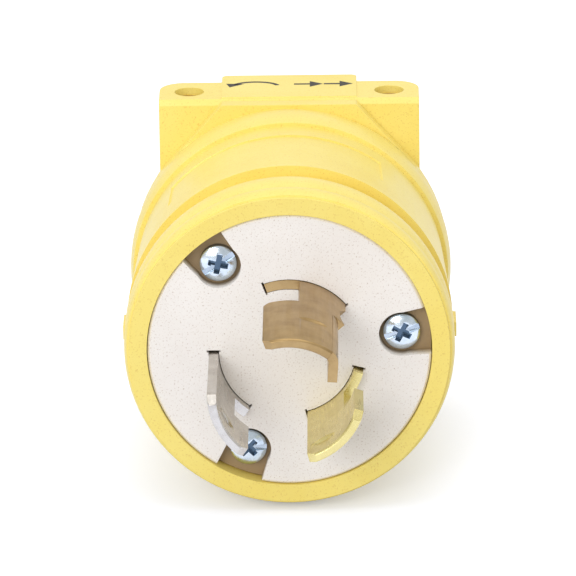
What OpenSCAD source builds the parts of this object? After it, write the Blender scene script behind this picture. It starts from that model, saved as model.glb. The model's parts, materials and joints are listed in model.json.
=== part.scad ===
// Locking power plug, two poles and earth, 20 A: a hollow moulded housing with a white
// dead front, three curved sheet-metal blades with lock notches, screw-clamp terminals
// inside, and a two-part cord clamp round the rear neck.
//
// Frame: the origin is at the centre of the dead front, on the axis of the plug. The blades
// point along -Y, the cord leaves along +Y and +Z is up. Angles round the axis are counted
// anticlockwise from +X, looking at the blades.

/* [Dead front] */
// Radius of the round opening that holds the white face
face_r = 22.5; // [22:0.1:23.2]
// Thickness of the face plate
face_t = 8; // [7.5:0.5:9]
// How far the rim stands in front of the face
face_recess = 0.4; // [0.2:0.1:1]
// Chamfer round the face
face_chamfer = 0.35; // [0.2:0.05:0.6]
// Width of the ledge behind the face plate
seat_ledge = 1.3; // [1:0.1:1.6]

/* [Rim and grip] */
// Radius of the flat front band of the rim
rim_r = 25.35; // [24.8:0.05:25.6]
// Length of the flat front band
band_len = 0.7; // [0.5:0.1:1]
// Radius over the two beads behind the band
bead_r = 26.15; // [25.9:0.05:26.4]
// How far each bead falls away at its ends
bead_fall = 0.5; // [0.3:0.05:0.7]
// Length of the front bead
bead_front_len = 3.9; // [3.4:0.1:4.4]
// Length of the rear bead
bead_rear_len = 5.7; // [5:0.1:6.4]
// Length of the finger groove
groove_len = 4.5; // [4:0.1:5.5]
// Radius at the bottom of the finger groove
groove_r = 23.6; // [23.5:0.1:24.2]
// Width of the rib that crosses the groove on each side
side_rib_w = 2.4; // [1.6:0.2:3.2]
// Reach of that rib from the axis
side_rib_r = 26.5; // [26:0.1:27]
// Length of the tapered grip
grip_len = 24.1; // [22:0.1:27]
// Radius of the grip at its front edge
grip_front_r = 26; // [25.6:0.1:26.3]
// Radius of the grip at its rear edge
grip_rear_r = 25; // [24.6:0.1:25.3]
// Depth of the bare panel sunk in the top of the grip
panel_depth = 0.3; // [0.2:0.05:0.5]
// Length of that panel along the axis
panel_len = 10.8; // [8:0.2:12]
// Gap from the front edge of the grip to that panel
panel_gap = 8.1; // [7:0.1:10]
// Angle at which the panel starts
panel_start = 54; // [45:1:60]
// Angle at which the panel ends
panel_end = 139; // [120:1:145]
// Length of the rounded rear flange
flange_len = 7.5; // [6.5:0.1:9]
// Radius over the rear flange
flange_r = 26.2; // [26:0.05:26.3]
// Distance from the axis to each flat of the octagonal collar
collar_flat = 26.4; // [26.3:0.1:27]
// Length of the octagonal collar
collar_len = 2.5; // [2:0.1:3.5]

/* [Housing inside] */
// Thickness of the wall at the rear of the wiring chamber
rear_wall = 4; // [3:0.2:5]
// Length of the funnel from the wiring chamber to the rear wall
funnel_len = 6; // [4:0.5:7]
// Radius of the neck that the cord clamp grips
neck_r = 11.3; // [11:0.1:11.6]
// Radius of the bore through the neck
neck_bore_r = 9.3; // [8.6:0.1:9.5]
// Length of the neck behind the collar
neck_len = 5.5; // [5:0.1:6]
// Radius of the lip on the end of the neck
lip_r = 12.8; // [12.4:0.1:13]
// Length of that lip
lip_len = 2; // [1.6:0.1:2.4]
// Radius of each boss for an assembly screw
boss_r = 3.6; // [3.5:0.1:4]
// Length of each boss
boss_len = 13; // [11:0.5:13]

/* [Blades] */
// Thickness of the blade metal
blade_t = 1.5; // [1.3:0.05:1.6]
// Distance from the face to the head of each blade, past the lock notch
notch_len = 9.8; // [8.5:0.1:11]
// How far the floor of a lock notch stands in front of the face on the two live blades
stub_h = 1.9; // [1.2:0.1:2.4]
// Chamfer on the corners of each blade tip
tip_corner = 1.3; // [0.8:0.1:2]
// Bevel on the thickness of each blade tip
tip_bevel = 0.3; // [0.1:0.05:0.45]
// Gap between a blade and the sides of its slot in the face
slot_gap = 0.35; // [0.2:0.05:0.5]
// Gap between a blade and the ends of its slot in the face
slot_end_gap = 0.3; // [0.2:0.05:0.5]
// Distance from the face to the shoulders that hold each blade
shoulder_depth = 3.6; // [3.2:0.1:4.2]
// How far the shoulders reach past the blade edges
shoulder_w = 1.2; // [0.8:0.1:1.5]
// Depth of the contact dimple in each blade
dimple_depth = 0.45; // [0.3:0.05:0.6]
// Distance from the tip of a live blade to its dimple
dimple_back = 4.6; // [4:0.1:5.5]
// Radius of the rounded section of the dimple
dimple_r = 1; // [0.8:0.1:1.2]

/* [Ground blade] */
// Inner radius of the ground blade
ground_r = 10.2; // [10:0.1:10.6]
// Angle of its clockwise edge at the face
ground_cw = 40.3; // [38:0.1:43]
// Angle of its anticlockwise edge
ground_ccw = 109.4; // [106:0.1:112]
// Length of the blade in front of the face
ground_len = 28.3; // [26:0.1:31]
// Width of its lock notch
ground_notch_w = 5; // [4.4:0.1:5.6]
// Radius of the rounded corner of its head at the notch
ground_corner_r = 1.6; // [1:0.1:2.2]
// Inner radius of the bend that makes the inward hook
hook_bend_r = 0.6; // [0.4:0.1:0.9]
// Angle at which the blade starts to bend
hook_start = 54; // [51:0.5:57]
// Angle that the hook is bent by
hook_bend = 58; // [50:1:65]
// Straight length of the hook after the bend
hook_lip = 3.1; // [2.4:0.1:3.6]
// Distance from the face to the hook
hook_depth = 10.6; // [10:0.1:12]
// Depth of the relief in the clockwise edge, in front of the face
relief_depth = 1.3; // [0.8:0.1:1.6]
// Distance from the face to the middle of that relief
relief_y = 7.2; // [6.5:0.1:8]
// Radius of that relief
relief_r = 6; // [5:0.5:8]
// Distance from the face to its dimple
ground_dimple_y = 18; // [16:0.5:21]
// Angle of its dimple
ground_dimple_a = 70; // [66:1:80]

/* [Neutral blade] */
// Inner radius of the neutral blade
neutral_r = 11.2; // [10.9:0.1:11.4]
// Angle of its clockwise edge
neutral_cw = 181; // [178:0.5:184]
// Angle of its anticlockwise edge
neutral_ccw = 235; // [232:0.5:238]
// Length of the blade in front of the face
neutral_len = 21; // [19.5:0.1:23]
// Angle from its anticlockwise edge back to its dimple
neutral_dimple_turn = 27; // [20:1:34]
// Width of its lock notch
neutral_notch_w = 3; // [2.5:0.1:3.6]

/* [Hot blade] */
// Inner radius of the hot blade
hot_r = 10.55; // [10.3:0.05:10.8]
// Angle of its clockwise edge
hot_cw = -75.2; // [-78:0.1:-73]
// Angle of its anticlockwise edge
hot_ccw = -16.2; // [-19:0.1:-14]
// Length of the blade in front of the face
hot_len = 20.6; // [19:0.1:22.5]
// Angle from its clockwise edge on to its dimple
hot_dimple_turn = 15; // [12:1:24]
// Width of its lock notch
hot_notch_w = 3.8; // [3.2:0.1:4.4]

/* [Terminals] */
// Length of the blade carrier
carrier_len = 16; // [15:0.5:17]
// Width of the tail behind each blade
tail_w = 8.4; // [7.6:0.1:9]
// Length of that tail
tail_len = 12; // [11:0.2:13]
// Distance from the face plate to the terminal screws
terminal_y = 7; // [6.6:0.1:7.4]
// Radius of a terminal screw's thread
terminal_screw_r = 2; // [1.8:0.1:2.2]
// Radius of a terminal screw's head
terminal_head_r = 3.6; // [3.3:0.1:3.8]
// Height of a terminal screw's head
terminal_head_h = 2.3; // [2:0.1:2.6]
// Space for a wire between a blade and its clamp plate
wire_gap = 2.6; // [2.2:0.1:2.8]
// Thickness of a wire clamp plate
clamp_plate_t = 1.8; // [1.5:0.1:2]
// Width and length of a wire clamp plate
clamp_plate_w = 8; // [7:0.1:8.4]

/* [Assembly screws] */
// Distance of the assembly screws from the axis
screw_circle_r = 17.9; // [17.5:0.1:18]
// Angle of the first assembly screw
screw_start = 8; // [5:1:11]
// Angle at which the right screw's slot stopped
right_slot_turn = 18; // [0:1:90]
// Angle at which the left screw's slot stopped
left_slot_turn = 33; // [0:1:90]
// Angle at which the bottom screw's slot stopped
bottom_slot_turn = 0; // [0:1:90]
// Radius of an assembly screw's head
head_r = 2.9; // [2.7:0.05:3.1]
// Height of an assembly screw's head
head_h = 2; // [1.8:0.1:2.2]
// Radius of an assembly screw's thread
thread_r = 1.75; // [1.6:0.05:1.85]
// Depth of the pocket in the face round each head
pocket_depth = 2.7; // [2.5:0.1:3.1]
// Width of the pocket at the screw
pocket_w = 7.2; // [6.8:0.1:7.6]
// Width of the pocket where it opens at the rim
pocket_mouth_w = 7.8; // [7.7:0.1:8.4]
// Outer radius of a threaded insert
insert_r = 2.7; // [2.5:0.05:2.8]
// Length of a threaded insert
insert_len = 8; // [7:0.5:9]

/* [Cord clamp] */
// Width of the clamp block
clamp_w = 42.6; // [41:0.2:44]
// Distance from the axis to the flat top and bottom of the clamp
clamp_half_h = 26.5; // [26.4:0.1:27]
// Length of the two ears
ear_len = 10.3; // [9.8:0.1:11.5]
// Radius of the rear corners of the ears
ear_corner_r = 4; // [3:0.5:5]
// Width of the middle part
middle_w = 22.2; // [21:0.2:24]
// How far the middle part reaches behind the ears
middle_len = 3.2; // [2.4:0.1:4]
// How far the middle part stands proud of the ears
middle_rise = 0.2; // [0.1:0.05:0.4]
// Gap between the two halves
clamp_gap = 1.2; // [0.8:0.1:2]
// Radius of the cord passage
cord_r = 7.2; // [6.6:0.1:7.6]
// Height of the two ribs that bite on the cord
rib_h = 0.8; // [0.5:0.1:1.1]
// Width of each of those ribs
rib_w = 1.1; // [0.8:0.1:1.3]
// Distance of each clamp screw from the middle
clamp_screw_x = 16.4; // [16.2:0.1:16.8]
// Radius of a clamp screw's head
clamp_head_r = 3.1; // [2.9:0.1:3.3]
// Depth of the recess round that head
clamp_head_depth = 4.6; // [4:0.2:6]
// Outer radius of the threaded insert in each ear
clamp_insert_r = 2.4; // [2.3:0.05:2.5]
// How deep that insert is sunk in the ear
clamp_insert_depth = 1.3; // [0.8:0.1:2]
// Wall left round the hollows in the clamp halves
clamp_wall = 2.3; // [2:0.1:2.8]

/* [Cord seal] */
// Radius of the hole in the rubber seal
seal_hole_r = 6.5; // [5.6:0.1:6.8]
// Thickness of its inner flange
seal_flange_t = 1.6; // [1.2:0.1:2]
// How far its flange reaches past the neck bore
seal_flange_w = 2.2; // [1.6:0.1:2.8]

/* [Hidden] */
$fn = 96;

// Clearances: a snug fit, a loose fit, and how far a cut runs past a surface
fit = 0.1;
// One whole turn, in degrees
full_turn = 360;
loose = 0.3;
past = 1;

// Stations along the axis
band_end = band_len - face_recess;
bead_mid = band_end + bead_front_len;
bead_end = bead_mid + bead_rear_len;
grip_y = bead_end + groove_len;
grip_end = grip_y + grip_len;
flange_end = grip_end + flange_len;
collar_end = flange_end + collar_len;
chamber_end = collar_end - rear_wall;
neck_end = collar_end + neck_len;
carrier_end = face_t + carrier_len;
ear_end = collar_end + ear_len;
middle_end = ear_end + middle_len;
terminal_at = face_t + terminal_y;

// Sizes that follow from the fits
carrier_r = face_r - seat_ledge;
chamber_r = carrier_r + fit;
head_seat = pocket_depth;
screw_pitch = 120;
screw_len = carrier_end + insert_len - head_seat;
slot_w = 0.9;
// Shares of a screw's head: crown, floor of the slot, floor and reach of the cross
crown_share = 0.35;
slot_floor_share = 0.55;
cross_floor_share = 0.3;
cross_reach_share = 0.55;
// Share of a thread's radius taken off at its tip
tip_share = 0.4;
web_w = 5;
octagon = 8;
clamp_screw_y = collar_end + ear_len / 2;
clamp_screw_seat = clamp_head_depth - clamp_half_h;
clamp_insert_top = clamp_half_h - clamp_insert_depth;
clamp_hole_r = thread_r + fit;
dimple_curve_r = 12;

// ---- helpers ----------------------------------------------------------------------

// Extrudes a shape drawn as seen from the front, from one station to another
module slab(from, to) {
    translate([0, to, 0]) rotate([90, 0, 0]) linear_extrude(to - from) children();
}

// Turns a (radius, station) section round the axis, from one angle to another
module turned(from = 0, to = full_turn) {
    rotate([90, 0, 0]) rotate([0, 0, from]) rotate_extrude(angle = to - from)
        mirror([0, 1]) children();
}

// Places a piece at an angle round the axis: X outwards, Y along the axis, Z anticlockwise
module at_angle(a) {
    rotate([0, -a, 0]) children();
}

// Extrudes a (station, sideways) shape outwards between two radii, inside at_angle
module radial(from, to) {
    translate([from, 0, 0]) rotate([90, 0, 90]) linear_extrude(to - from) children();
}

// A flat band of a ring between two angles less than 180 degrees apart
module arc_band(r0, r1, a0, a1) {
    far = 2 * r1;
    mid = (a0 + a1) / 2;
    intersection() {
        difference() {
            circle(r = r1);
            circle(r = r0);
        }
        polygon([
            [0, 0],
            far * [cos(a0), sin(a0)],
            far * [cos(mid), sin(mid)] * 1.5,
            far * [cos(a1), sin(a1)]
        ]);
    }
}

// A solid section that swells to crest_r between two stations and falls by fall at its ends
module swell(y0, len, crest_r, fall) {
    curve_r = (fall * fall + len * len / 4) / (2 * fall);
    intersection() {
        translate([crest_r - curve_r, y0 + len / 2]) circle(r = curve_r);
        translate([0, y0]) square([crest_r + past, len]);
    }
    translate([0, y0]) square([crest_r - fall, len]);
}

// A screw along Z with its head above the origin, slotted and cross-recessed
module driver_screw(hr, hh, sr, len) {
    dome = crown_share * hh;
    curve_r = (dome * dome + hr * hr) / (2 * dome);
    tip = tip_share * sr;
    difference() {
        union() {
            intersection() {
                cylinder(r = hr, h = hh);
                translate([0, 0, hh - curve_r]) sphere(r = curve_r);
            }
            rotate_extrude() polygon([
                [0, -len], [sr - tip, -len], [sr, tip - len], [sr, past / 4], [0, past / 4]
            ]);
        }
        translate([-hr - past, -slot_w / 2, slot_floor_share * hh])
            cube([2 * (hr + past), slot_w, hh]);
        for (a = [45, 135]) rotate([0, 0, a])
            translate([-cross_reach_share * hr, -slot_w / 2, cross_floor_share * hh])
                cube([2 * cross_reach_share * hr, slot_w, hh]);
    }
}

// A threaded insert along Z, with a groove round its middle
module threaded_insert(r, len, bore) {
    groove = 0.35;
    third = len / 3;
    rotate_extrude() polygon([
        [bore, 0], [r, 0], [r, third], [r - groove, third],
        [r - groove, 2 * third], [r, 2 * third], [r, len], [bore, len]
    ]);
}

// ---- blades -----------------------------------------------------------------------

// Angle that a distance round a radius spans
function arc_deg(w, r) = w / r * 180 / PI;

// Angle of the middle of a blade, where its tail and terminal are
function middle(cw, ccw) = (cw + ccw) / 2;

// A wedge from the axis outwards between two angles, from one station to another
module wedge(a0, a1, from, to) {
    reach = 2 * face_r;
    mid = (a0 + a1) / 2;
    slab(from, to) polygon([
        [0, 0], reach * [cos(a0), sin(a0)], 1.5 * reach * [cos(mid), sin(mid)],
        reach * [cos(a1), sin(a1)]
    ]);
}

// A blade before its notch is cut: a strip bevelled at its tip, shoulders that are held
// between face plate and carrier, and a narrower tail with a screw hole
module blade_blank(r, cw, ccw, len) {
    outer = r + blade_t;
    mid = middle(cw, ccw);
    side = arc_deg(shoulder_w, r);
    half_tail = arc_deg(tail_w / 2, r);
    root_mid = (shoulder_depth + face_t) / 2;
    tail_end = face_t + tail_len;
    difference() {
        intersection() {
            turned() polygon([
                [r, tip_bevel - len], [r + tip_bevel, -len], [outer - tip_bevel, -len],
                [outer, tip_bevel - len], [outer, tail_end], [r, tail_end]
            ]);
            union() {
                wedge(cw, ccw, -len - past, root_mid);
                wedge(cw - side, ccw + side, shoulder_depth, face_t);
                wedge(mid - half_tail, mid + half_tail, root_mid, tail_end + past);
            }
        }
        at_angle(mid) translate([0, terminal_at, 0]) rotate([0, 90, 0])
            cylinder(r = terminal_screw_r + fit, h = outer + past);
    }
}

// Cuts the lock notch at the anticlockwise edge, from above the face to the head
module lock_notch(r, ccw, notch_w, floor_h) {
    wedge(ccw - arc_deg(notch_w, r), ccw + arc_deg(past, r), -notch_len, -floor_h);
}

// Cuts a corner off the blade tip at an edge; side is -1 or 1
module tip_cut(r, a, len, side) {
    at_angle(a) radial(r - past, r + blade_t + past)
        polygon([
            [-len - past, side * past],
            [-len - past, -side * (tip_corner + past)],
            [-len, -side * tip_corner],
            [tip_corner - len, 0],
            [tip_corner - len + past, side * past]
        ]);
}

// Ring that presses the dimple: its rim meets the blade over a short arc
module dimple_ring(r, y, a) {
    at_angle(a) translate([r + dimple_curve_r, -y, 0]) rotate([90, 0, 0])
        rotate_extrude() translate([dimple_curve_r - dimple_r, 0]) circle(r = dimple_r);
}

// The dimple as a hollow outside and as a raised spot inside
module dimpled(r, y, a) {
    difference() {
        children();
        dimple_ring(r + blade_t - dimple_depth, y, a);
    }
    intersection() {
        dimple_ring(r - dimple_depth, y, a);
        slab(-y - 2 * dimple_r, 2 * dimple_r - y) circle(r = r + fit);
    }
}

// A live blade: strip, notch, tip corners, dimple and root
module live_blade(r, cw, ccw, len, notch_w, dimple_a) {
    dimpled(r, len - dimple_back, dimple_a) difference() {
        blade_blank(r, cw, ccw, len);
        lock_notch(r, ccw, notch_w, stub_h);
        tip_cut(r, cw, len, -1);
        tip_cut(r, ccw, len, 1);
    }
}

// Slot through the face and recess behind it for the shoulders of one blade
module blade_slot(r, cw, ccw) {
    gap = arc_deg(slot_end_gap, r);
    side = arc_deg(shoulder_w + fit, r);
    slab(-past, face_t + past)
        arc_band(r - slot_gap, r + blade_t + slot_gap, cw - gap, ccw + gap);
    slab(shoulder_depth, face_t + past)
        arc_band(r - slot_gap, r + blade_t + slot_gap, cw - side, ccw + side);
}

module hot_blade() {
    color([0.78, 0.66, 0.36])
        live_blade(hot_r, hot_cw, hot_ccw, hot_len, hot_notch_w,
            hot_cw + hot_dimple_turn);
}

module neutral_blade() {
    color([0.78, 0.77, 0.74])
        live_blade(neutral_r, neutral_cw, neutral_ccw, neutral_len, neutral_notch_w,
            neutral_ccw - neutral_dimple_turn);
}

// The inward hook, as seen from the front: a bend and a straight lip
module hook_section() {
    bend_centre = ground_r - hook_bend_r;
    translate(bend_centre * [cos(hook_start), sin(hook_start)]) {
        arc_band(hook_bend_r, hook_bend_r + blade_t, hook_start - hook_bend, hook_start);
        rotate(hook_start - hook_bend) translate([hook_bend_r, -hook_lip])
            square([blade_t, hook_lip]);
    }
}

module ground_blade() {
    r = ground_r;
    edge = ground_ccw;
    color([0.76, 0.6, 0.34])
    union() {
        dimpled(r, ground_dimple_y, ground_dimple_a) difference() {
            blade_blank(r, ground_cw, edge, ground_len);
            wedge(ground_cw - past, hook_start, -ground_len - past, -hook_depth);
            at_angle(ground_cw) translate([0, -relief_y, relief_depth - relief_r])
                rotate([0, 90, 0]) cylinder(r = relief_r, h = r + blade_t + past);
            lock_notch(r, edge, ground_notch_w, 0);
            tip_cut(r, edge, ground_len, 1);
            at_angle(edge) radial(r - past, r + blade_t + past)
                translate([-notch_len - ground_corner_r, -ground_corner_r]) difference() {
                    square(ground_corner_r + past);
                    circle(r = ground_corner_r + fit);
                }
        }
        slab(-ground_len, -hook_depth) hook_section();
    }
}

// ---- terminals --------------------------------------------------------------------

// Plate with a tapped hole that the terminal screw draws towards the blade
module wire_clamp(r, cw, ccw) {
    outer = r - wire_gap;
    inner = outer - clamp_plate_t;
    corner = 0.8;
    half = clamp_plate_w / 2;
    at_angle(middle(cw, ccw)) translate([0, terminal_at, 0]) difference() {
        radial(inner, outer) polygon([
            [-half, corner - half], [corner - half, -half], [half - corner, -half],
            [half, corner - half], [half, half - corner], [half - corner, half],
            [corner - half, half], [-half, half - corner]
        ]);
        rotate([0, 90, 0]) cylinder(r = terminal_screw_r, h = r);
    }
}

// Screw whose head bears on the outside of the blade's tail
module terminal_screw(r, cw, ccw) {
    at_angle(middle(cw, ccw)) translate([r + blade_t, terminal_at, 0]) rotate([0, 90, 0])
        driver_screw(terminal_head_r, terminal_head_h, terminal_screw_r,
            blade_t + wire_gap + clamp_plate_t + fit);
}

// Room in the carrier for one terminal: tail slot, wire chamber and screwdriver hole
module terminal_room(r, cw, ccw) {
    mid = middle(cw, ccw);
    half_tail = arc_deg(tail_w / 2 + fit, r);
    inner = r - wire_gap - clamp_plate_t - 2 * loose;
    half = clamp_plate_w / 2 + loose;
    slab(face_t - past, face_t + tail_len + fit)
        arc_band(r - fit, r + blade_t + fit, mid - half_tail, mid + half_tail);
    at_angle(mid) {
        translate([inner, terminal_at - half, -half])
            cube([r + blade_t / 2 - inner, carrier_end + past - terminal_at + half, 2 * half]);
        translate([r, terminal_at, 0]) rotate([0, 90, 0])
            cylinder(r = terminal_head_r + loose, h = carrier_r);
    }
}

module ground_wire_clamp() {
    color("silver") wire_clamp(ground_r, ground_cw, ground_ccw);
}

module neutral_wire_clamp() {
    color("silver") wire_clamp(neutral_r, neutral_cw, neutral_ccw);
}

module hot_wire_clamp() {
    color("silver") wire_clamp(hot_r, hot_cw, hot_ccw);
}

module ground_terminal_screw() {
    color("seagreen") terminal_screw(ground_r, ground_cw, ground_ccw);
}

module neutral_terminal_screw() {
    color("silver") terminal_screw(neutral_r, neutral_cw, neutral_ccw);
}

module hot_terminal_screw() {
    color("goldenrod") terminal_screw(hot_r, hot_cw, hot_ccw);
}

// ---- face plate and carrier -------------------------------------------------------

// Angle of each assembly screw
function screw_angle(i) = screw_start + i * screw_pitch;

module face_plate() {
    r = face_r - fit;
    c = face_chamfer;
    color([0.94, 0.93, 0.91])
    difference() {
        turned() polygon([[0, 0], [r - c, 0], [r, c], [r, face_t], [0, face_t]]);
        blade_slot(ground_r, ground_cw, ground_ccw);
        blade_slot(neutral_r, neutral_cw, neutral_ccw);
        blade_slot(hot_r, hot_cw, hot_ccw);
        for (i = [0:2]) rotate([0, -screw_angle(i), 0]) {
            translate([screw_circle_r, head_seat, 0]) rotate([90, 0, 0])
                cylinder(r = pocket_w / 2, h = head_seat + past);
            slab(-past, head_seat) polygon([
                [screw_circle_r, -pocket_w / 2 + fit], [face_r, -pocket_mouth_w / 2],
                [face_r, pocket_mouth_w / 2], [screw_circle_r, pocket_w / 2 - fit]
            ]);
            translate([screw_circle_r, face_t + past, 0]) rotate([90, 0, 0])
                cylinder(r = thread_r + fit, h = face_t + 2 * past);
        }
    }
}

module blade_carrier() {
    color([0.9, 0.89, 0.86])
    difference() {
        slab(face_t, carrier_end) circle(r = carrier_r);
        terminal_room(ground_r, ground_cw, ground_ccw);
        terminal_room(neutral_r, neutral_cw, neutral_ccw);
        terminal_room(hot_r, hot_cw, hot_ccw);
        for (i = [0:2]) rotate([0, -screw_angle(i), 0])
            translate([screw_circle_r, carrier_end + past, 0]) rotate([90, 0, 0])
                cylinder(r = thread_r + loose, h = carrier_len + 2 * past);
    }
}

// ---- assembly screws and their inserts --------------------------------------------

module assembly_screw(i, slot_turn) {
    rotate([0, -screw_angle(i), 0]) translate([screw_circle_r, head_seat, 0])
        rotate([90, 0, 0]) rotate([0, 0, slot_turn - screw_angle(i)])
            driver_screw(head_r, head_h, thread_r, screw_len);
}

module housing_insert(i) {
    rotate([0, -screw_angle(i), 0]) translate([screw_circle_r, carrier_end, 0])
        rotate([-90, 0, 0]) threaded_insert(insert_r, insert_len, thread_r);
}

module assembly_screw_right() {
    color("lightsteelblue") assembly_screw(0, right_slot_turn);
}

module assembly_screw_left() {
    color("lightsteelblue") assembly_screw(1, left_slot_turn);
}

module assembly_screw_bottom() {
    color("lightsteelblue") assembly_screw(2, bottom_slot_turn);
}

module housing_insert_right() {
    color("goldenrod") housing_insert(0);
}

module housing_insert_left() {
    color("goldenrod") housing_insert(1);
}

module housing_insert_bottom() {
    color("goldenrod") housing_insert(2);
}

// ---- housing ----------------------------------------------------------------------

// Outside of the housing as a (radius, station) section
module housing_outside() {
    translate([0, -face_recess]) square([rim_r, band_len]);
    swell(band_end, bead_front_len, bead_r, bead_fall);
    swell(bead_mid, bead_rear_len, bead_r, bead_fall);
    translate([0, bead_end]) square([groove_r, groove_len]);
    polygon([
        [0, grip_y], [grip_front_r, grip_y], [grip_rear_r, grip_end], [0, grip_end]
    ]);
    swell(grip_end, flange_len, flange_r, bead_fall);
    translate([0, flange_end]) square([groove_r, collar_len]);
    translate([0, collar_end]) square([neck_r, neck_len]);
    translate([0, neck_end - lip_len]) square([lip_r, lip_len]);
}

// Inside of the housing: face opening, wiring chamber, funnel and neck bore
module housing_inside() {
    seal_seat_r = neck_bore_r + seal_flange_w + loose;
    polygon([
        [0, -face_recess - past], [face_r, -face_recess - past], [face_r, face_t],
        [chamber_r, face_t], [chamber_r, chamber_end - funnel_len],
        [seal_seat_r, chamber_end], [neck_bore_r, chamber_end],
        [neck_bore_r, neck_end + past], [0, neck_end + past]
    ]);
}

// Boss on the chamber wall that takes a threaded insert
module insert_boss(i) {
    rotate([0, -screw_angle(i), 0]) difference() {
        union() {
            translate([screw_circle_r, carrier_end, 0]) rotate([-90, 0, 0])
                cylinder(r = boss_r, h = boss_len);
            translate([screw_circle_r, carrier_end, -web_w / 2])
                cube([chamber_r + past - screw_circle_r, boss_len, web_w]);
        }
        translate([screw_circle_r, carrier_end - past, 0]) rotate([-90, 0, 0])
            cylinder(r = insert_r, h = insert_len + past);
        translate([screw_circle_r, carrier_end - past, 0]) rotate([-90, 0, 0])
            cylinder(r = thread_r + fit, h = insert_len + 3 * past);
    }
}

// Eight-sided collar behind the flange
module collar() {
    difference() {
        slab(flange_end, collar_end) rotate(180 / octagon)
            circle(r = collar_flat / cos(180 / octagon), $fn = octagon);
        slab(flange_end - past, collar_end + past) circle(r = neck_r + past);
    }
}

module housing() {
    panel_y = grip_y + panel_gap;
    slope = (grip_front_r - grip_rear_r) / grip_len;
    top = grip_front_r - slope * panel_gap - panel_depth;
    color([0.95, 0.86, 0.45])
    union() {
        difference() {
            union() {
                turned() difference() {
                    housing_outside();
                    housing_inside();
                }
                collar();
                for (side = [0, 180]) rotate([0, side, 0])
                    translate([groove_r - past / 2, bead_end - past / 2, -side_rib_w / 2])
                        cube([side_rib_r - groove_r + past / 2, groove_len + past, side_rib_w]);
            }
            turned(panel_start, panel_end) polygon([
                [top, panel_y], [top + 2 * past, panel_y],
                [top + 2 * past, panel_y + panel_len],
                [top - slope * panel_len, panel_y + panel_len]
            ]);
        }
        for (i = [0:2]) insert_boss(i);
    }
}

// ---- cord clamp -------------------------------------------------------------------

// A plan shape with its two rear corners rounded, from y0 to y1
module rounded_plan(w, y0, y1, corner) {
    translate([-w / 2, y0]) square([w, y1 - y0 - corner]);
    translate([corner - w / 2, y0]) square([w - 2 * corner, y1 - y0]);
    for (side = [-1, 1]) translate([side * (w / 2 - corner), y1 - corner]) circle(r = corner);
}

// The space that the neck, its lip and the cord take out of the clamp
module clamp_passage() {
    lip_y = neck_end - lip_len;
    flare = 1.4;
    rib_1 = neck_end + loose + rib_w;
    rib_2 = rib_1 + 2 * rib_w;
    turned() polygon([
        [0, collar_end - past], [neck_r + loose, collar_end - past],
        [neck_r + loose, lip_y - fit], [lip_r + loose, lip_y - fit],
        [lip_r + loose, neck_end + fit], [cord_r, neck_end + fit],
        [cord_r, rib_1], [cord_r - rib_h, rib_1],
        [cord_r - rib_h, rib_1 + rib_w], [cord_r, rib_1 + rib_w],
        [cord_r, rib_2], [cord_r - rib_h, rib_2],
        [cord_r - rib_h, rib_2 + rib_w], [cord_r, rib_2 + rib_w],
        [cord_r, middle_end - flare], [cord_r + flare, middle_end],
        [cord_r + flare, middle_end + past], [0, middle_end + past]
    ]);
}

// One half of the clamp, above the middle plane
module clamp_half() {
    corner = 1;
    pocket_x = middle_w / 2 - clamp_wall;
    pocket_z = lip_r + clamp_wall;
    edge = 1.2;
    difference() {
        union() {
            translate([0, 0, clamp_gap / 2]) linear_extrude(clamp_half_h - clamp_gap / 2)
                rounded_plan(clamp_w, collar_end, ear_end, ear_corner_r);
            translate([0, 0, clamp_gap / 2])
                linear_extrude(clamp_half_h + middle_rise - clamp_gap / 2)
                    rounded_plan(middle_w, collar_end + edge, middle_end, corner);
        }
        clamp_passage();
        translate([-clamp_w, collar_end, clamp_half_h]) rotate([45, 0, 0])
            translate([0, -edge, -edge / 2]) cube([2 * clamp_w, 2 * edge, edge]);
        for (side = [-1, 1]) translate([side * (pocket_x + clamp_wall / 2) / 2, 0, 0])
            translate([-(pocket_x - clamp_wall / 2) / 2, collar_end - past, pocket_z])
                cube([pocket_x - clamp_wall / 2, ear_len + past - clamp_wall,
                    clamp_half_h - clamp_wall - pocket_z]);
    }
}

module cord_clamp_upper() {
    color([0.96, 0.89, 0.55])
    difference() {
        clamp_half();
        for (side = [-1, 1]) translate([side * clamp_screw_x, clamp_screw_y, 0]) {
            cylinder(r = clamp_hole_r, h = clamp_half_h);
            translate([0, 0, clamp_insert_top - insert_len])
                cylinder(r = clamp_insert_r, h = insert_len + clamp_insert_depth + past);
        }
    }
}

module cord_clamp_lower() {
    color([0.96, 0.89, 0.55])
    difference() {
        rotate([0, 180, 0]) clamp_half();
        for (side = [-1, 1]) translate([side * clamp_screw_x, clamp_screw_y, 0])
            rotate([180, 0, 0]) {
                cylinder(r = clamp_hole_r, h = clamp_half_h);
                translate([0, 0, -clamp_screw_seat])
                    cylinder(r = clamp_head_r + loose, h = clamp_head_depth + past);
            }
    }
}

module clamp_screw(side) {
    translate([side * clamp_screw_x, clamp_screw_y, clamp_screw_seat]) rotate([180, 0, 0])
        driver_screw(clamp_head_r, head_h, thread_r, clamp_insert_top - clamp_screw_seat);
}

module clamp_insert(side) {
    translate([side * clamp_screw_x, clamp_screw_y, clamp_insert_top - insert_len])
        threaded_insert(clamp_insert_r, insert_len, thread_r);
}

module clamp_screw_left() {
    color("lightsteelblue") clamp_screw(-1);
}

module clamp_screw_right() {
    color("lightsteelblue") clamp_screw(1);
}

module clamp_insert_left() {
    color("goldenrod") clamp_insert(-1);
}

module clamp_insert_right() {
    color("goldenrod") clamp_insert(1);
}

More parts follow.
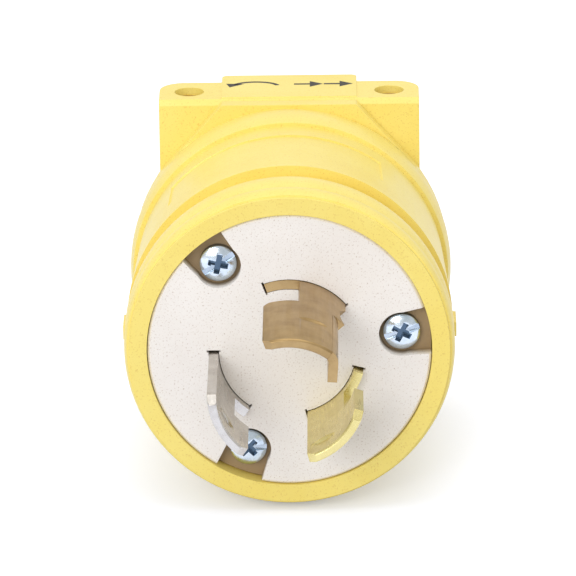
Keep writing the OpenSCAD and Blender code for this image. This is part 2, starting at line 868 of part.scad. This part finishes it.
// Rubber sleeve in the neck, with a flange inside the wiring chamber
module cord_seal() {
    outer = neck_bore_r + seal_flange_w;
    lead = 1.5;
    color([0.15, 0.15, 0.16])
    turned() polygon([
        [seal_hole_r + lead, chamber_end - seal_flange_t],
        [outer, chamber_end - seal_flange_t], [outer, chamber_end],
        [neck_bore_r, chamber_end], [neck_bore_r, neck_end],
        [seal_hole_r, neck_end], [seal_hole_r, chamber_end + lead]
    ]);
}

// ---- nodes ------------------------------------------------------------------------

housing();
face_plate();
blade_carrier();
ground_blade();
neutral_blade();
hot_blade();
ground_wire_clamp();
neutral_wire_clamp();
hot_wire_clamp();
ground_terminal_screw();
neutral_terminal_screw();
hot_terminal_screw();
assembly_screw_right();
assembly_screw_left();
assembly_screw_bottom();
housing_insert_right();
housing_insert_left();
housing_insert_bottom();
cord_clamp_upper();
cord_clamp_lower();
clamp_screw_left();
clamp_screw_right();
clamp_insert_left();
clamp_insert_right();
cord_seal();
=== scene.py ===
import json
import math
import bmesh
import bpy
from mathutils import Matrix, Vector


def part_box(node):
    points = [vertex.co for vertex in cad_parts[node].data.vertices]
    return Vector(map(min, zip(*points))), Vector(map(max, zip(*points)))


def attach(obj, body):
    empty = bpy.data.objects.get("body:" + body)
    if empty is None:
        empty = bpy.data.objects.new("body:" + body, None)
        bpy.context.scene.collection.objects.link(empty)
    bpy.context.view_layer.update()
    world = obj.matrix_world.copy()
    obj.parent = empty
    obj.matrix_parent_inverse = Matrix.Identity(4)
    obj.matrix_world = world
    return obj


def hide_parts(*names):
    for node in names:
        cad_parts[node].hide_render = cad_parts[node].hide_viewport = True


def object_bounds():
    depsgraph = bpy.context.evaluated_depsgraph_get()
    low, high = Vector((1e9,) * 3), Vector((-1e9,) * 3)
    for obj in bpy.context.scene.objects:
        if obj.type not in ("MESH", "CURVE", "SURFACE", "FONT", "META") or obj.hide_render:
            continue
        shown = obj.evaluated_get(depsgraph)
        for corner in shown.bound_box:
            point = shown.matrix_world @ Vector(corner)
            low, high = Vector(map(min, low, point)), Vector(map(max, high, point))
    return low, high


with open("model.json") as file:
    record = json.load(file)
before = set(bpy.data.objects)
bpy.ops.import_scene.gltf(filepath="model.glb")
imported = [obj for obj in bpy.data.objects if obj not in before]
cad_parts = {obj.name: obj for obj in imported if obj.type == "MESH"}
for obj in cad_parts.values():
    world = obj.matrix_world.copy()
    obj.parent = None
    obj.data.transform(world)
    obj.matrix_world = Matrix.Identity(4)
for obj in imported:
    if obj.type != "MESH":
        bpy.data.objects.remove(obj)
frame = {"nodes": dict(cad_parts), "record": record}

# A locking power plug: yellow nylon housing, white dead front, three curved blades,
# screws, and a two-part cord clamp. Lengths are in metres, in the frame of the model.

cad_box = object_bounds()
MM = 0.001


# ---- how a material is put together -------------------------------------------------

def new_group(name, inputs, outputs):
    """A shader group with named float or colour sockets, and its input and output nodes."""
    group = bpy.data.node_groups.new(name, "ShaderNodeTree")
    kinds = {"float": "NodeSocketFloat", "colour": "NodeSocketColor", "vector": "NodeSocketVector"}
    for label, kind, value in inputs:
        socket = group.interface.new_socket(label, in_out="INPUT", socket_type=kinds[kind])
        if value is not None:
            socket.default_value = value
    for label, kind in outputs:
        group.interface.new_socket(label, in_out="OUTPUT", socket_type=kinds[kind])
    return group, group.nodes.new("NodeGroupInput"), group.nodes.new("NodeGroupOutput")


def add(tree, kind, **values):
    """A node in a tree, with its plain properties and its unlinked inputs set."""
    node = tree.nodes.new(kind)
    for name, value in values.items():
        if name in node.inputs:
            node.inputs[name].default_value = value
        else:
            setattr(node, name, value)
    return node


def noise(tree, vector, scale, detail=3.0, roughness=0.5):
    """Noise at a number of features to the metre."""
    node = add(tree, "ShaderNodeTexNoise", Scale=scale, Detail=detail, Roughness=roughness)
    tree.links.new(vector, node.inputs["Vector"])
    return node.outputs["Fac"]


def remap(tree, value, low, high, to_low=0.0, to_high=1.0):
    """Stretches a value from one range to another and keeps it inside."""
    node = tree.nodes.new("ShaderNodeMapRange")
    for socket, number in zip(("From Min", "From Max", "To Min", "To Max"),
                              (low, high, to_low, to_high)):
        if isinstance(number, (int, float)):
            node.inputs[socket].default_value = number
        else:
            tree.links.new(number, node.inputs[socket])
    tree.links.new(value, node.inputs["Value"])
    return node.outputs["Result"]


def blend_colours(tree, factor, first, second):
    """Mixes two colours by a factor."""
    node = tree.nodes.new("ShaderNodeMix")
    node.data_type = "RGBA"
    for socket, value in ((node.inputs["Factor"], factor), (node.inputs["A"], first),
                          (node.inputs["B"], second)):
        if isinstance(value, bpy.types.NodeSocket):
            tree.links.new(value, socket)
        else:
            socket.default_value = value
    return node.outputs["Result"]


def moulded_skin_group():
    """Satin skin of moulded nylon: cloudy colour, sparse specks, faint orange peel."""
    group, inside, outside = new_group(
        "moulded_skin",
        [("Colour", "colour", None), ("Deep Colour", "colour", None),
         ("Speck Colour", "colour", None), ("Specks", "float", 0.3),
         ("Roughness", "float", 0.4), ("Spread", "float", 0.08)],
        [("Colour", "colour"), ("Roughness", "float"), ("Height", "float")])
    where = group.nodes.new("ShaderNodeTexCoord").outputs["Object"]
    clouds = noise(group, where, 70.0, 4.0, 0.6)
    grain = noise(group, where, 1500.0, 3.0, 0.6)
    peel = noise(group, where, 420.0, 2.0, 0.4)
    dots = noise(group, where, 3600.0, 2.0, 0.6)
    body = blend_colours(group, remap(group, clouds, 0.35, 0.65),
                         inside.outputs["Colour"], inside.outputs["Deep Colour"])
    speck = remap(group, dots, 0.58, 0.72)
    amount = add(group, "ShaderNodeMath", operation="MULTIPLY")
    group.links.new(speck, amount.inputs[0])
    group.links.new(inside.outputs["Specks"], amount.inputs[1])
    colour = blend_colours(group, amount.outputs[0], body, inside.outputs["Speck Colour"])
    spread = add(group, "ShaderNodeMath", operation="MULTIPLY_ADD")
    group.links.new(remap(group, grain, 0.3, 0.7, -0.5, 0.5), spread.inputs[0])
    group.links.new(inside.outputs["Spread"], spread.inputs[1])
    group.links.new(inside.outputs["Roughness"], spread.inputs[2])
    height = add(group, "ShaderNodeMath", operation="MULTIPLY_ADD")
    group.links.new(peel, height.inputs[0])
    height.inputs[1].default_value = 0.6
    group.links.new(grain, height.inputs[2])
    group.links.new(colour, outside.inputs["Colour"])
    group.links.new(spread.outputs[0], outside.inputs["Roughness"])
    group.links.new(height.outputs[0], outside.inputs["Height"])
    return group


def worked_metal_group():
    """Rolled or plated metal: drawn lines along one direction, stains and small pits."""
    group, inside, outside = new_group(
        "worked_metal",
        [("Colour", "colour", None), ("Stain Colour", "colour", None),
         ("Stains", "float", 0.5), ("Lines", "vector", (900.0, 120.0, 900.0)),
         ("Roughness", "float", 0.3), ("Spread", "float", 0.15)],
        [("Colour", "colour"), ("Roughness", "float"), ("Height", "float")])
    where = group.nodes.new("ShaderNodeTexCoord").outputs["Object"]
    stretch = group.nodes.new("ShaderNodeMapping")
    group.links.new(where, stretch.inputs["Vector"])
    group.links.new(inside.outputs["Lines"], stretch.inputs["Scale"])
    lines = noise(group, stretch.outputs["Vector"], 1.0, 4.0, 0.65)
    stain = noise(group, where, 260.0, 5.0, 0.62)
    pits = noise(group, where, 2600.0, 2.0, 0.5)
    amount = add(group, "ShaderNodeMath", operation="MULTIPLY")
    group.links.new(remap(group, stain, 0.4, 0.66), amount.inputs[0])
    group.links.new(inside.outputs["Stains"], amount.inputs[1])
    colour = blend_colours(group, amount.outputs[0], inside.outputs["Colour"],
                           inside.outputs["Stain Colour"])
    spread = add(group, "ShaderNodeMath", operation="MULTIPLY_ADD")
    group.links.new(remap(group, lines, 0.3, 0.7, -0.5, 0.5), spread.inputs[0])
    group.links.new(inside.outputs["Spread"], spread.inputs[1])
    group.links.new(inside.outputs["Roughness"], spread.inputs[2])
    height = add(group, "ShaderNodeMath", operation="MULTIPLY_ADD")
    group.links.new(pits, height.inputs[0])
    height.inputs[1].default_value = 0.35
    group.links.new(lines, height.inputs[2])
    group.links.new(colour, outside.inputs["Colour"])
    group.links.new(spread.outputs[0], outside.inputs["Roughness"])
    group.links.new(height.outputs[0], outside.inputs["Height"])
    return group


def painted_depth_shade_group():
    """Painted shade behind the face: a darker colour that grows with depth, standing in for the
    shade in pockets and recesses.
    """
    group, inside, outside = new_group(
        "painted_depth_shade",
        [("Colour", "colour", None), ("Deep Colour", "colour", None),
         ("Start", "float", 0.0004), ("End", "float", 0.0026)],
        [("Colour", "colour")])
    where = group.nodes.new("ShaderNodeTexCoord").outputs["Object"]
    split = group.nodes.new("ShaderNodeSeparateXYZ")
    group.links.new(where, split.inputs["Vector"])
    depth = remap(group, split.outputs["Y"], inside.outputs["Start"], inside.outputs["End"])
    group.links.new(blend_colours(group, depth, inside.outputs["Colour"],
                                  inside.outputs["Deep Colour"]), outside.inputs["Colour"])
    return group


MOULDED = moulded_skin_group()
METAL = worked_metal_group()
PAINTED_SHADE = painted_depth_shade_group()


def finish_material(name, group, group_values, bump_depth, painted_depth_shade=None, **shader):
    """A material whose colour, roughness and bump come from one of the groups, with painted shade
    added by depth where given.
    """
    material = bpy.data.materials.new(name)
    material.use_nodes = True
    tree = material.node_tree
    principled = tree.nodes["Principled BSDF"]
    skin = tree.nodes.new("ShaderNodeGroup")
    skin.node_tree = group
    for label, value in group_values.items():
        skin.inputs[label].default_value = value
    bump = add(tree, "ShaderNodeBump", Strength=1.0, Distance=bump_depth)
    tree.links.new(skin.outputs["Height"], bump.inputs["Height"])
    colour = skin.outputs["Colour"]
    # painted shade: where given, the colour darkens with depth behind the face
    if painted_depth_shade:
        tint = tree.nodes.new("ShaderNodeGroup")
        tint.node_tree = PAINTED_SHADE
        tree.links.new(colour, tint.inputs["Colour"])
        for label, value in zip(("Deep Colour", "Start", "End"), painted_depth_shade):
            tint.inputs[label].default_value = value
        colour = tint.outputs["Colour"]
    tree.links.new(colour, principled.inputs["Base Color"])
    tree.links.new(skin.outputs["Roughness"], principled.inputs["Roughness"])
    tree.links.new(bump.outputs["Normal"], principled.inputs["Normal"])
    for label, value in shader.items():
        principled.inputs[label.replace("_", " ")].default_value = value
    return material


def rgb(red, green, blue):
    """A colour given as it looks on screen, from 0 to 255, in linear light."""
    def linear(value):
        value = value / 255.0
        return value / 12.92 if value <= 0.04045 else ((value + 0.055) / 1.055) ** 2.4
    return (linear(red), linear(green), linear(blue), 1.0)


def nylon(name, colour, deep, speck, specks, roughness, bump_depth, painted_depth_shade=None):
    """Moulded nylon of one colour."""
    return finish_material(
        name, MOULDED,
        {"Colour": colour, "Deep Colour": deep, "Speck Colour": speck, "Specks": specks,
         "Roughness": roughness},
        bump_depth, painted_depth_shade, IOR=1.5)


def metal(name, colour, stain, stains, roughness, spread, lines, bump_depth,
          painted_depth_shade=None):
    """Sheet or turned metal of one colour."""
    return finish_material(
        name, METAL,
        {"Colour": colour, "Stain Colour": stain, "Stains": stains,
         "Roughness": roughness, "Spread": spread, "Lines": lines},
        bump_depth, painted_depth_shade, Metallic=1.0)


ALONG_BLADE = (1100.0, 90.0, 1100.0)
EVEN = (900.0, 900.0, 900.0)

materials = {
    "yellow_nylon": nylon("yellow nylon", rgb(249, 229, 128), rgb(246, 223, 116),
                          rgb(222, 188, 92), 0.65, 0.40, 0.012 * MM),
    # white nylon: painted shade in the face's pockets, browner from 0.5 mm to 2.6 mm deep
    "white_nylon": nylon("white nylon", rgb(246, 242, 238), rgb(241, 236, 231),
                         rgb(196, 180, 168), 0.95, 0.52, 0.014 * MM,
                         (rgb(166, 142, 108), 0.5 * MM, 2.6 * MM)),
    "brass": metal("dull sheet brass", rgb(182, 154, 108), rgb(152, 124, 82), 0.65,
                   0.34, 0.16, ALONG_BLADE, 0.008 * MM),
    "nickel": metal("nickel plate", rgb(206, 202, 196), rgb(160, 152, 144), 0.5,
                    0.25, 0.14, ALONG_BLADE, 0.006 * MM),
    # bright zinc: painted shade in the screw heads' recesses, blue-grey from 1.42 mm to 1.95 mm
    # deep
    "zinc_steel": metal("bright zinc", rgb(222, 232, 240), rgb(150, 172, 190), 0.55,
                        0.20, 0.14, EVEN, 0.016 * MM,
                        (rgb(84, 102, 120), 1.42 * MM, 1.95 * MM)),
    "green_screw": metal("green dyed steel", rgb(60, 130, 84), rgb(34, 84, 54), 0.5,
                         0.36, 0.12, EVEN, 0.008 * MM),
    "brass_screw": metal("turned brass", rgb(214, 182, 112), rgb(178, 142, 78), 0.4,
                         0.28, 0.12, EVEN, 0.006 * MM),
    "insert_brass": metal("knurled brass", rgb(206, 172, 104), rgb(160, 126, 70), 0.5,
                          0.34, 0.14, EVEN, 0.020 * MM),
    "black_rubber": nylon("black rubber", rgb(46, 45, 47), rgb(36, 35, 37),
                          rgb(70, 68, 68), 0.5, 0.7, 0.020 * MM),
}
bright_brass = metal("bright sheet brass", rgb(226, 212, 146), rgb(198, 180, 112), 0.5,
                     0.28, 0.14, ALONG_BLADE, 0.008 * MM)
plain_zinc = metal("zinc", rgb(214, 224, 232), rgb(140, 160, 176), 0.5,
                   0.22, 0.14, EVEN, 0.012 * MM)
ink = finish_material(
    "black print", MOULDED,
    {"Colour": rgb(38, 34, 30), "Deep Colour": rgb(30, 27, 24),
     "Speck Colour": rgb(120, 104, 60), "Specks": 0.6, "Roughness": 0.5},
    0.004 * MM)


# ---- the camera, the light and the floor --------------------------------------------

def aim(thing, target, roll=0.0):
    """Turns a lamp or the camera towards a point."""
    look = (Vector(target) - thing.location).to_track_quat("-Z", "Y").to_matrix().to_4x4()
    thing.matrix_world = (Matrix.Translation(thing.location) @ look
                          @ Matrix.Rotation(math.radians(roll), 4, "Z"))


# angle of the camera above the axis, in degrees, and its focal length, in millimetres
CAMERA_RISE = 19.2
LENS = 396.6


def add_camera():
    """A long lens one metre in front of the face, a little above it."""
    height = math.radians(CAMERA_RISE)
    data = bpy.data.cameras.new("camera")
    data.sensor_width = 36.0
    data.lens = LENS
    data.clip_start = 0.1
    data.clip_end = 20.0
    camera = bpy.data.objects.new("camera", data)
    bpy.context.scene.collection.objects.link(camera)
    camera.location = (0.0094, -math.cos(height), math.sin(height))
    aim(camera, (-0.4 * MM, 30.8 * MM, 0.0), roll=-0.8)
    bpy.context.scene.camera = camera


def add_softbox(name, place, size, watts):
    """A square soft lamp that faces the plug."""
    data = bpy.data.lights.new(name, "AREA")
    data.shape = "SQUARE"
    data.size = size
    data.energy = watts
    lamp = bpy.data.objects.new(name, data)
    bpy.context.scene.collection.objects.link(lamp)
    lamp.location = place
    aim(lamp, (0.0, 0.02, 0.0))


def add_world():
    """Plain studio light, a little brighter behind the plug than in front of it."""
    world = bpy.data.worlds.new("studio")
    bpy.context.scene.world = world
    world.use_nodes = True
    tree = world.node_tree
    background = tree.nodes["Background"]
    split = tree.nodes.new("ShaderNodeSeparateXYZ")
    tree.links.new(tree.nodes.new("ShaderNodeTexCoord").outputs["Generated"],
                   split.inputs["Vector"])
    strength = remap(tree, split.outputs["Y"], -0.7, 0.7, 0.75, 0.92)
    tree.links.new(strength, background.inputs["Strength"])
    background.inputs["Color"].default_value = (1.0, 0.995, 0.985, 1.0)


def add_floor():
    """A white sheet that goes on past the view and keeps the shadow of the plug."""
    mesh = bpy.data.meshes.new("floor")
    bm = bmesh.new()
    bmesh.ops.create_grid(bm, x_segments=1, y_segments=1, size=4.0)
    bmesh.ops.translate(bm, verts=bm.verts, vec=(0.0, 0.0, cad_box[0][2] - 0.05 * MM))
    bm.to_mesh(mesh)
    bm.free()
    floor = bpy.data.objects.new("floor", mesh)
    bpy.context.scene.collection.objects.link(floor)
    material = bpy.data.materials.new("white sheet")
    material.use_nodes = True
    tree = material.node_tree
    principled = tree.nodes["Principled BSDF"]
    principled.inputs["Roughness"].default_value = 0.9
    principled.inputs["Specular IOR Level"].default_value = 0.1
    path = tree.nodes.new("ShaderNodeLightPath")
    seen = add(tree, "ShaderNodeMath", operation="MAXIMUM")
    tree.links.new(path.outputs["Is Camera Ray"], seen.inputs[0])
    tree.links.new(path.outputs["Is Glossy Ray"], seen.inputs[1])
    also = add(tree, "ShaderNodeMath", operation="MAXIMUM")
    tree.links.new(seen.outputs[0], also.inputs[0])
    tree.links.new(path.outputs["Is Transmission Ray"], also.inputs[1])
    colour = blend_colours(tree, also.outputs[0], (0.60, 0.60, 0.62, 1.0), (0.82, 0.86, 1.0, 1.0))
    tree.links.new(colour, principled.inputs["Base Color"])
    lift = add(tree, "ShaderNodeMath", operation="MULTIPLY")
    tree.links.new(also.outputs[0], lift.inputs[0])
    lift.inputs[1].default_value = 0.30
    principled.inputs["Emission Color"].default_value = (1.0, 1.0, 1.0, 1.0)
    tree.links.new(lift.outputs[0], principled.inputs["Emission Strength"])
    floor.data.materials.append(material)


add_camera()
add_world()
add_softbox("overhead softbox", (0.04, -0.06, 0.75), 0.50, 1.0)
add_softbox("front softbox", (-0.35, -0.95, 0.45), 0.50, 4.3)
add_floor()


# ---- pieces --------------------------------------------------------------------------

slots = {part["node"]: part["material_slot"] for part in frame["record"]["subparts"]}

# angles in degrees: faces this flat are one, edges this sharp are rounded or stay crisp
FLAT_ANGLE = 0.4
HARD_ANGLE = 38
CRISP_ANGLE = 32
WELD = 1e-6


def set_material(thing, material):
    """Gives a whole piece one material."""
    thing.data.materials.clear()
    thing.data.materials.append(material)


def new_piece(name, bm, slot, material=None, nodes=()):
    """Makes a piece of the plug from a bmesh, in the material of its slot."""
    mesh = bpy.data.meshes.new(name)
    bm.to_mesh(mesh)
    bm.free()
    mesh.set_sharp_from_angle(angle=math.radians(CRISP_ANGLE))
    piece = bpy.data.objects.new(name, mesh)
    bpy.context.scene.collection.objects.link(piece)
    set_material(piece, material or materials[slot])
    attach(piece, "root")
    if nodes:
        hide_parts(*nodes)
    return piece


# the collar: distance to its flats, half the width of a flat, radius of its two sides,
# the stations it lies between, and the cuts that let its sides bend, in degrees
COLLAR_FLAT = 26.4 * MM
COLLAR_CORNER = 10.94 * MM
COLLAR_ROUND = 25.8 * MM
COLLAR_ZONE = (45.95 * MM, 48.55 * MM)
COLLAR_CUTS = 14
COLLAR_CUT_STEP = 4.8


def collar_limit(turn):
    """How far the collar reaches at an angle from the side: round, then up to a flat."""
    turn = math.acos(min(1.0, abs(math.cos(turn))))
    corner = math.atan2(COLLAR_FLAT, COLLAR_CORNER)
    tangent = corner - math.acos(COLLAR_ROUND / math.hypot(COLLAR_FLAT, COLLAR_CORNER))
    if turn <= tangent:
        return COLLAR_ROUND
    if turn <= corner:
        return COLLAR_ROUND / math.cos(turn - tangent)
    return COLLAR_FLAT / math.sin(turn)


def round_collar(bm):
    """Rounds the two sides of the collar and leaves its flat top and bottom."""
    for step in range(-COLLAR_CUTS, COLLAR_CUTS + 1):
        angle = math.radians(COLLAR_CUT_STEP * step)
        bmesh.ops.bisect_plane(
            bm, geom=bm.verts[:] + bm.edges[:] + bm.faces[:], dist=1e-7,
            plane_co=(0.0, 0.0, 0.0), plane_no=(-math.sin(angle), 0.0, math.cos(angle)))
    for vert in bm.verts:
        x, y, z = vert.co
        if COLLAR_ZONE[0] < y < COLLAR_ZONE[1]:
            reach = math.hypot(x, z)
            limit = collar_limit(math.atan2(z, x))
            if reach > limit:
                vert.co.x *= limit / reach
                vert.co.z *= limit / reach


def softened(node, width, reshape=None, material=None):
    """A copy of a solid with its hard edges rounded."""
    bm = bmesh.new()
    bm.from_mesh(frame["nodes"][node].data)
    bmesh.ops.remove_doubles(bm, verts=bm.verts, dist=WELD)
    bmesh.ops.dissolve_limit(bm, angle_limit=math.radians(FLAT_ANGLE), verts=bm.verts,
                             edges=bm.edges)
    if reshape:
        reshape(bm)
    hard = [edge for edge in bm.edges
            if len(edge.link_faces) == 2 and edge.calc_face_angle(0.0) > math.radians(HARD_ANGLE)]
    bmesh.ops.bevel(bm, geom=hard, offset=width, offset_type="OFFSET", segments=2,
                    profile=0.5, affect="EDGES", clamp_overlap=False, material=-1)
    for face in bm.faces:
        face.smooth = True
    slot = slots[node]
    piece = new_piece("rounded_" + node, bm, slot, material, nodes=(node,))
    shade = piece.modifiers.new("even shading", "WEIGHTED_NORMAL")
    shade.keep_sharp = True
    return piece


ROUNDED = {
    "housing": 0.10 * MM, "face_plate": 0.06 * MM,
    "cord_clamp_upper": 0.08 * MM, "cord_clamp_lower": 0.08 * MM,
    "ground_blade": 0.05 * MM, "neutral_blade": 0.07 * MM, "hot_blade": 0.07 * MM,
    "assembly_screw_right": 0.03 * MM, "assembly_screw_left": 0.03 * MM,
    "assembly_screw_bottom": 0.03 * MM,
    "clamp_screw_left": 0.03 * MM, "clamp_screw_right": 0.03 * MM,
}
OWN_MATERIAL = {"hot_blade": bright_brass, "clamp_screw_left": plain_zinc,
                "clamp_screw_right": plain_zinc}
for node, solid in frame["nodes"].items():
    if node in ROUNDED:
        softened(node, ROUNDED[node], reshape=round_collar if node == "housing" else None,
                 material=OWN_MATERIAL.get(node))
    else:
        set_material(solid, materials[slots[node]])


def arc_strip(bm, inner, outer, start, end, front, back, steps=40):
    """A curved strip with a rectangular section, seen from the front as an arc."""
    rings = []
    for i in range(steps + 1):
        angle = math.radians(start + (end - start) * i / steps)
        rings.append([bm.verts.new((reach * math.cos(angle), y, reach * math.sin(angle)))
                      for reach, y in ((inner, front), (outer, front),
                                       (outer, back), (inner, back))])
    for first, second in zip(rings, rings[1:]):
        for i in range(4):
            j = (i + 1) % 4
            bm.faces.new((first[i], first[j], second[j], second[i]))
    bm.faces.new(rings[0])
    bm.faces.new(rings[-1][::-1])
    bmesh.ops.recalc_face_normals(bm, faces=bm.faces)


# the blades' slots close in on them at the face: inner radius and the two end angles
SLOT_LIPS = {
    "ground": (10.2 * MM, 40.3, 109.4),
    "neutral": (11.2 * MM, 181.0, 235.0),
    "hot": (10.55 * MM, -75.2, -16.2),
}
BLADE = 1.5 * MM
SLOT_GAP = 0.36 * MM
LIP_GAP = 0.09 * MM
LIP_DEPTH = (0.01 * MM, 1.2 * MM)
for name, (inner, start, end) in SLOT_LIPS.items():
    lips = bmesh.new()
    arc_strip(lips, inner - SLOT_GAP, inner - LIP_GAP, start, end, *LIP_DEPTH)
    arc_strip(lips, inner + BLADE + LIP_GAP, inner + BLADE + SLOT_GAP, start, end, *LIP_DEPTH)
    new_piece(name + "_slot_lips", lips, "white_nylon")


def flat_outline(bm, points, height):
    """A flat printed shape at a height, from its corners in plan."""
    corners = [bm.verts.new((x, y, height)) for x, y in points]
    face = bm.faces.new(corners)
    face.normal_update()
    if face.normal.z < 0:
        face.normal_flip()


def print_arrows():
    """Plain arrows on top of the clamp: a bent one to turn, and two straight ones to pull."""
    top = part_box("cord_clamp_upper")[1][2] + 0.004 * MM
    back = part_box("cord_clamp_upper")[1][1]
    row = back - 5.3 * MM
    # in millimetres: half a line's width, a shaft's length, a head's length and half width
    half, shaft, head, wing = 0.36, 2.6, 2.2, 1.6
    bm = bmesh.new()

    def shape(points):
        flat_outline(bm, [(x * MM, row + y * MM) for x, y in points], top)

    for start in (0.8, 5.7):
        neck = start + shaft
        shape([(start, -half), (neck, -half), (neck, half), (start, half)])
        shape([(neck, -wing), (neck + head, 0.0), (neck, wing)])
    # the bent arrow: a low bow with a head at its left end, set down to the row
    middle_x, reach, rise, set_down = -5.6, 3.8, 2.6, 1.2
    steps = 24
    sweep = [math.radians(15 + 135 * i / steps) for i in range(steps + 1)]

    def bow(angle, grow):
        return (middle_x + (reach + grow) * math.cos(angle),
                (rise + grow) * math.sin(angle) - set_down)

    for a, b in zip(sweep, sweep[1:]):
        shape([bow(a, half), bow(b, half), bow(b, -half), bow(a, -half)])
    end_x, end_y = bow(sweep[-1], 0.0)
    shape([(end_x + 1.5, end_y + 0.2), (end_x - 1.5, end_y + 0.5), (end_x - 0.9, end_y - 1.6)])
    bmesh.ops.remove_doubles(bm, verts=bm.verts, dist=1e-7)
    new_piece("printed_arrows", bm, "yellow_nylon", ink)


print_arrows()

bpy.context.scene.view_settings.view_transform = "Standard"
